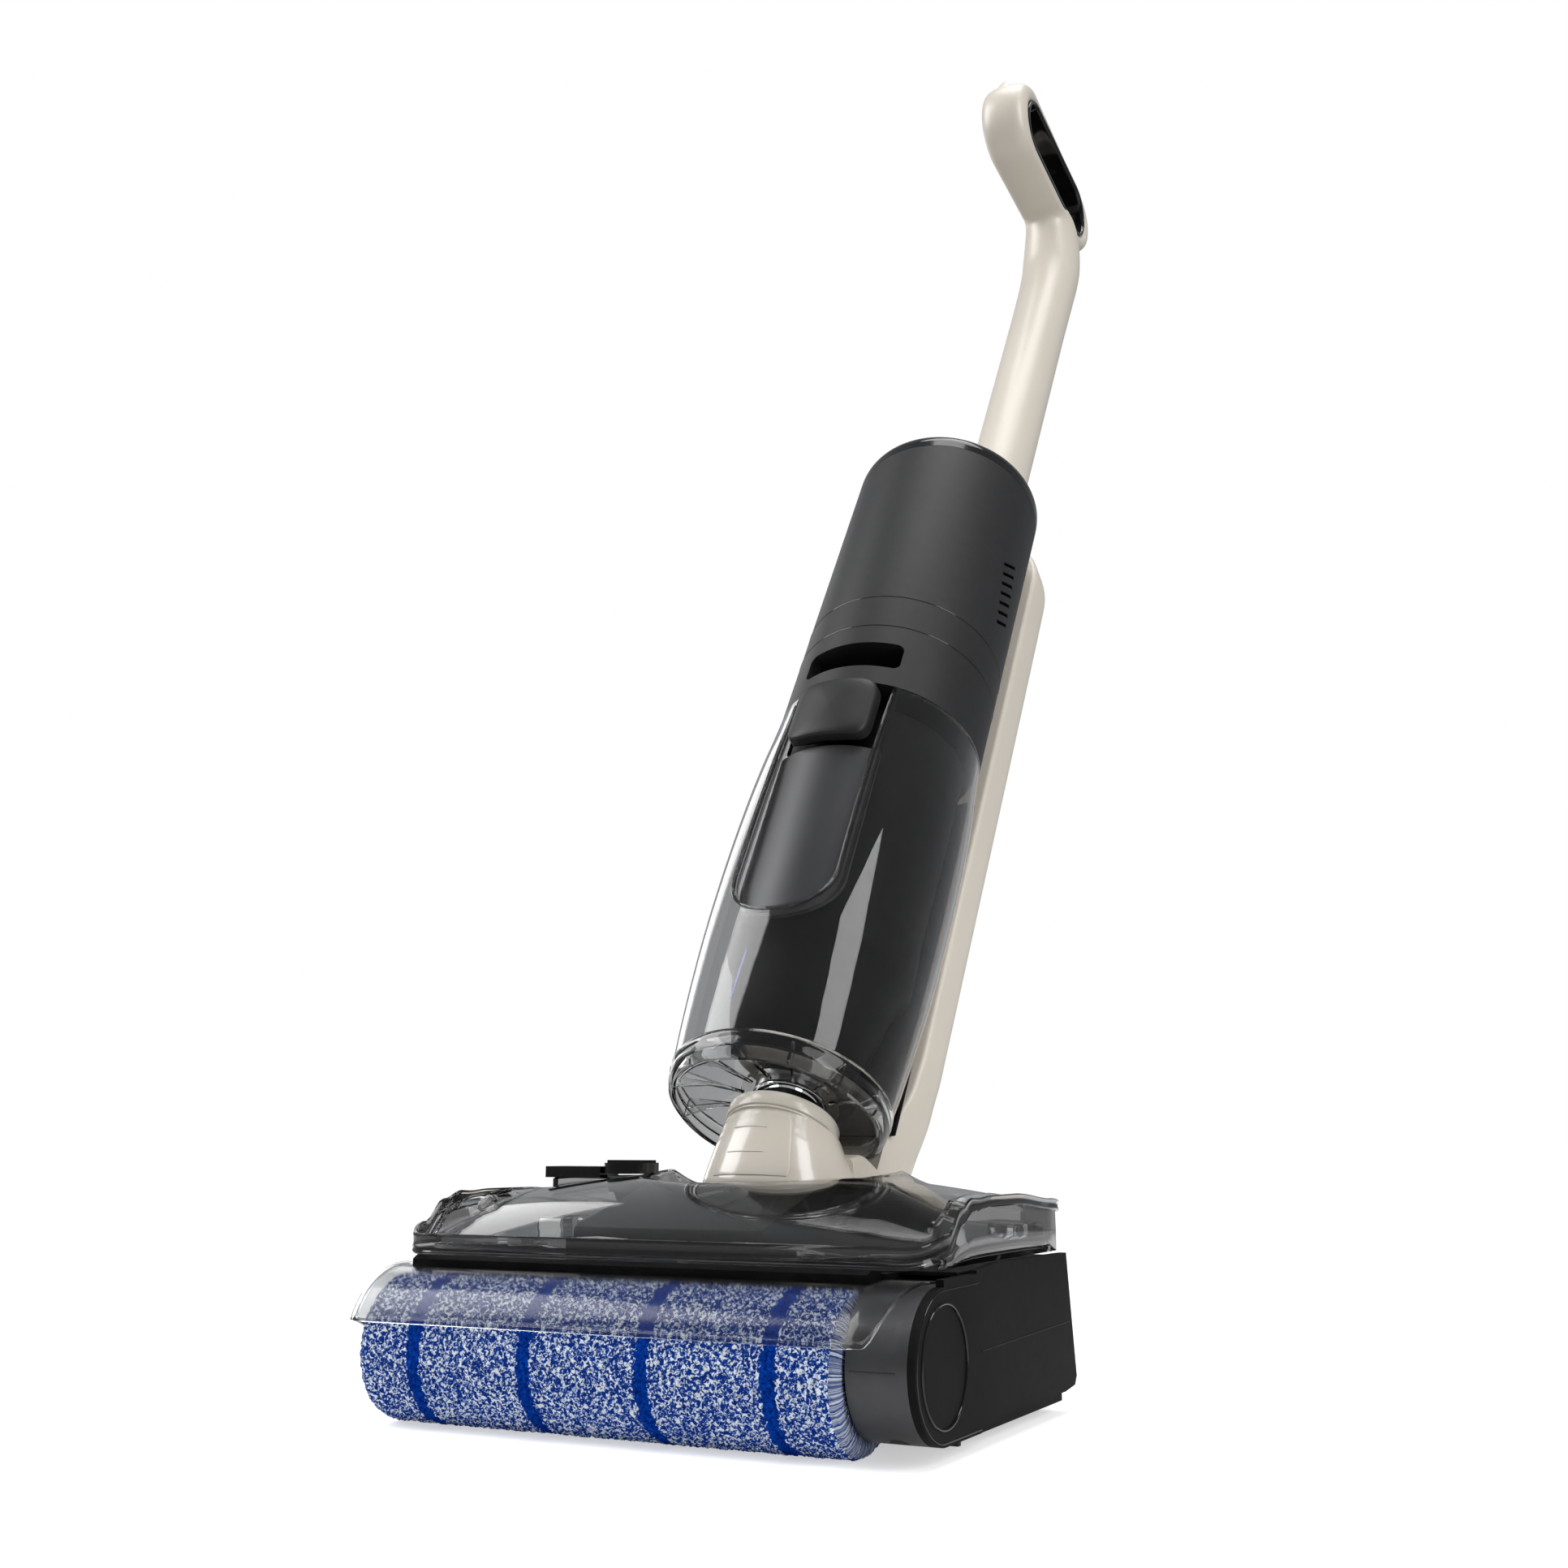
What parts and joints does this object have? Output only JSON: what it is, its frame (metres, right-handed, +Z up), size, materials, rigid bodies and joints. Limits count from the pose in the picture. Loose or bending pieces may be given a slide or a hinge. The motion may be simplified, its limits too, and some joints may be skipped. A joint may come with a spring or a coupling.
{
  "type": "cordless floor washer",
  "caption": "Cordless wet and dry floor washer with a soft roller head, clear water tanks, a long tube and a loop grip.",
  "frame": {"origin": "on the floor, at the centre of the bounding box's underside", "axes": "+X across the head to the right seen from the front, -Y forwards, +Z up"},
  "size_m": [0.282, 0.729, 0.9832],
  "materials": {
    "beige_shell": "satin",
    "charcoal_shell": "satin",
    "black_plastic": "satin",
    "black_gloss": "gloss",
    "grey_plastic": "satin",
    "smoke_clear": "clear smoke-tinted plastic",
    "clear_plastic": "clear plastic",
    "blue_pile": "speckled blue and white pile",
    "rubber_black": "matte",
    "tyre_grey": "matte",
    "steel": "brushed",
    "alu": "machined"
  },
  "bodies": {
    "head": {"chassis": "black_plastic", "base_plate": "black_plastic", "left_side_cover": "black_plastic", "right_side_cover": "black_plastic", "drive_housing": "charcoal_shell", "drive_side_cap": "charcoal_shell", "roller_bracket": "black_plastic", "scraper_bar": "black_plastic", "spray_bar": "grey_plastic", "duct_cover": "charcoal_shell", "suction_duct": "grey_plastic", "rear_squeegee": "rubber_black", "lamp_lenses": "clear_plastic", "left_wing_cover": "smoke_clear", "right_wing_cover": "smoke_clear", "drive_motor": "steel", "drive_belt": "rubber_black", "wheel_axles": "steel", "base_screws": "steel", "recline_pins": "steel"},
    "roller": {"roller_core": "grey_plastic", "roller_pile": "blue_pile", "roller_end_cap": "grey_plastic", "roller_pulley": "grey_plastic"},
    "motor_shaft": {"motor_pulley": "grey_plastic"},
    "front_cover": {"roller_cover": "smoke_clear", "roller_cover_end": "clear_plastic"},
    "water_tank": {"clean_tank": "smoke_clear", "filler_funnel": "grey_plastic"},
    "filler_knob": {"filler_cap": "black_gloss"},
    "water_tank_catch": {"clean_tank_latch": "black_gloss"},
    "wheel_left": {"left_wheel": "grey_plastic", "left_tyre": "tyre_grey"},
    "wheel_right": {"right_wheel": "grey_plastic", "right_tyre": "tyre_grey"},
    "yoke": {"recline_yoke": "beige_shell"},
    "body": {"neck_shell": "beige_shell", "neck_spigot": "grey_plastic", "neck_panel": "beige_shell", "neck_hose": "grey_plastic", "spine_tray": "beige_shell", "spine_back": "beige_shell", "battery_pack": "black_plastic", "motor_housing": "charcoal_shell", "top_cap": "black_gloss", "display_lens": "black_gloss", "suction_motor": "alu", "handle_tube": "beige_shell", "grip_loop": "beige_shell", "grip_liner": "black_gloss"},
    "impeller": {"suction_impeller": "grey_plastic"},
    "waste_tank": {"dirty_tank": "smoke_clear", "tank_base_ring": "smoke_clear", "inlet_tube": "clear_plastic", "filter_cup": "black_plastic", "recess_panel": "charcoal_shell", "tank_lid": "charcoal_shell", "filter_cover": "charcoal_shell"},
    "waste_tank_latch": {"tank_latch": "charcoal_shell"},
    "start_button": {"power_button": "beige_shell"}
  },
  "joints": [
    {"name": "roller_spin", "type": "hinge", "parent": "head", "child": "roller", "pos_m": [0, -0.33, 0.034], "axis": [1, 0, 0], "continuous": true},
    {"name": "motor_spin", "type": "hinge", "parent": "head", "child": "motor_shaft", "pos_m": [0.125, -0.268, 0.042], "axis": [1, 0, 0], "continuous": true},
    {"name": "front_cover_slide", "type": "slide", "parent": "head", "child": "front_cover", "axis": [0, -0.9701, 0.2425], "range_m": [0, 0.05]},
    {"name": "water_tank_lift", "type": "slide", "parent": "head", "child": "water_tank", "axis": [0, 0, 1], "range_m": [0, 0.015]},
    {"name": "filler_knob_twist", "type": "hinge", "parent": "water_tank", "child": "filler_knob", "pos_m": [-0.0805, -0.218, 0.115], "axis": [0, 0, 1], "range_deg": [0, 90]},
    {"name": "water_tank_catch_slide", "type": "slide", "parent": "water_tank", "child": "water_tank_catch", "axis": [-1, 0, 0], "range_m": [0, 0.004], "stiffness_N_per_m": 400},
    {"name": "left_wheel_spin", "type": "hinge", "parent": "head", "child": "wheel_left", "pos_m": [-0.096, -0.178, 0.022], "axis": [1, 0, 0], "continuous": true},
    {"name": "right_wheel_spin", "type": "hinge", "parent": "head", "child": "wheel_right", "pos_m": [0.096, -0.178, 0.022], "axis": [1, 0, 0], "continuous": true},
    {"name": "recline", "type": "hinge", "parent": "head", "child": "yoke", "pos_m": [0, -0.205, 0.075], "axis": [-1, 0, 0], "range_deg": [-31.9, 50]},
    {"name": "steer", "type": "hinge", "parent": "yoke", "child": "body", "pos_m": [0, -0.205, 0.075], "axis": [0, 0.5284, 0.849], "range_deg": [-40, 40]},
    {"name": "impeller_spin", "type": "hinge", "parent": "body", "child": "impeller", "pos_m": [0, -0.02011, 0.44262], "axis": [0, 0.5284, 0.849], "continuous": true},
    {"name": "waste_tank_pull", "type": "slide", "parent": "body", "child": "waste_tank", "axis": [0, -0.849, 0.5284], "range_m": [0, 0.01]},
    {"name": "waste_tank_latch_press", "type": "slide", "parent": "waste_tank", "child": "waste_tank_latch", "axis": [0, 0.849, -0.5284], "range_m": [0, 0.003], "stiffness_N_per_m": 800},
    {"name": "start_button_press", "type": "slide", "parent": "body", "child": "start_button", "axis": [0, 0.849, -0.5284], "range_m": [0, 0.0015], "stiffness_N_per_m": 800}
  ],
  "couplings": [
    {"joint": "motor_spin", "follows": "roller_spin", "ratio": 2}
  ]
}
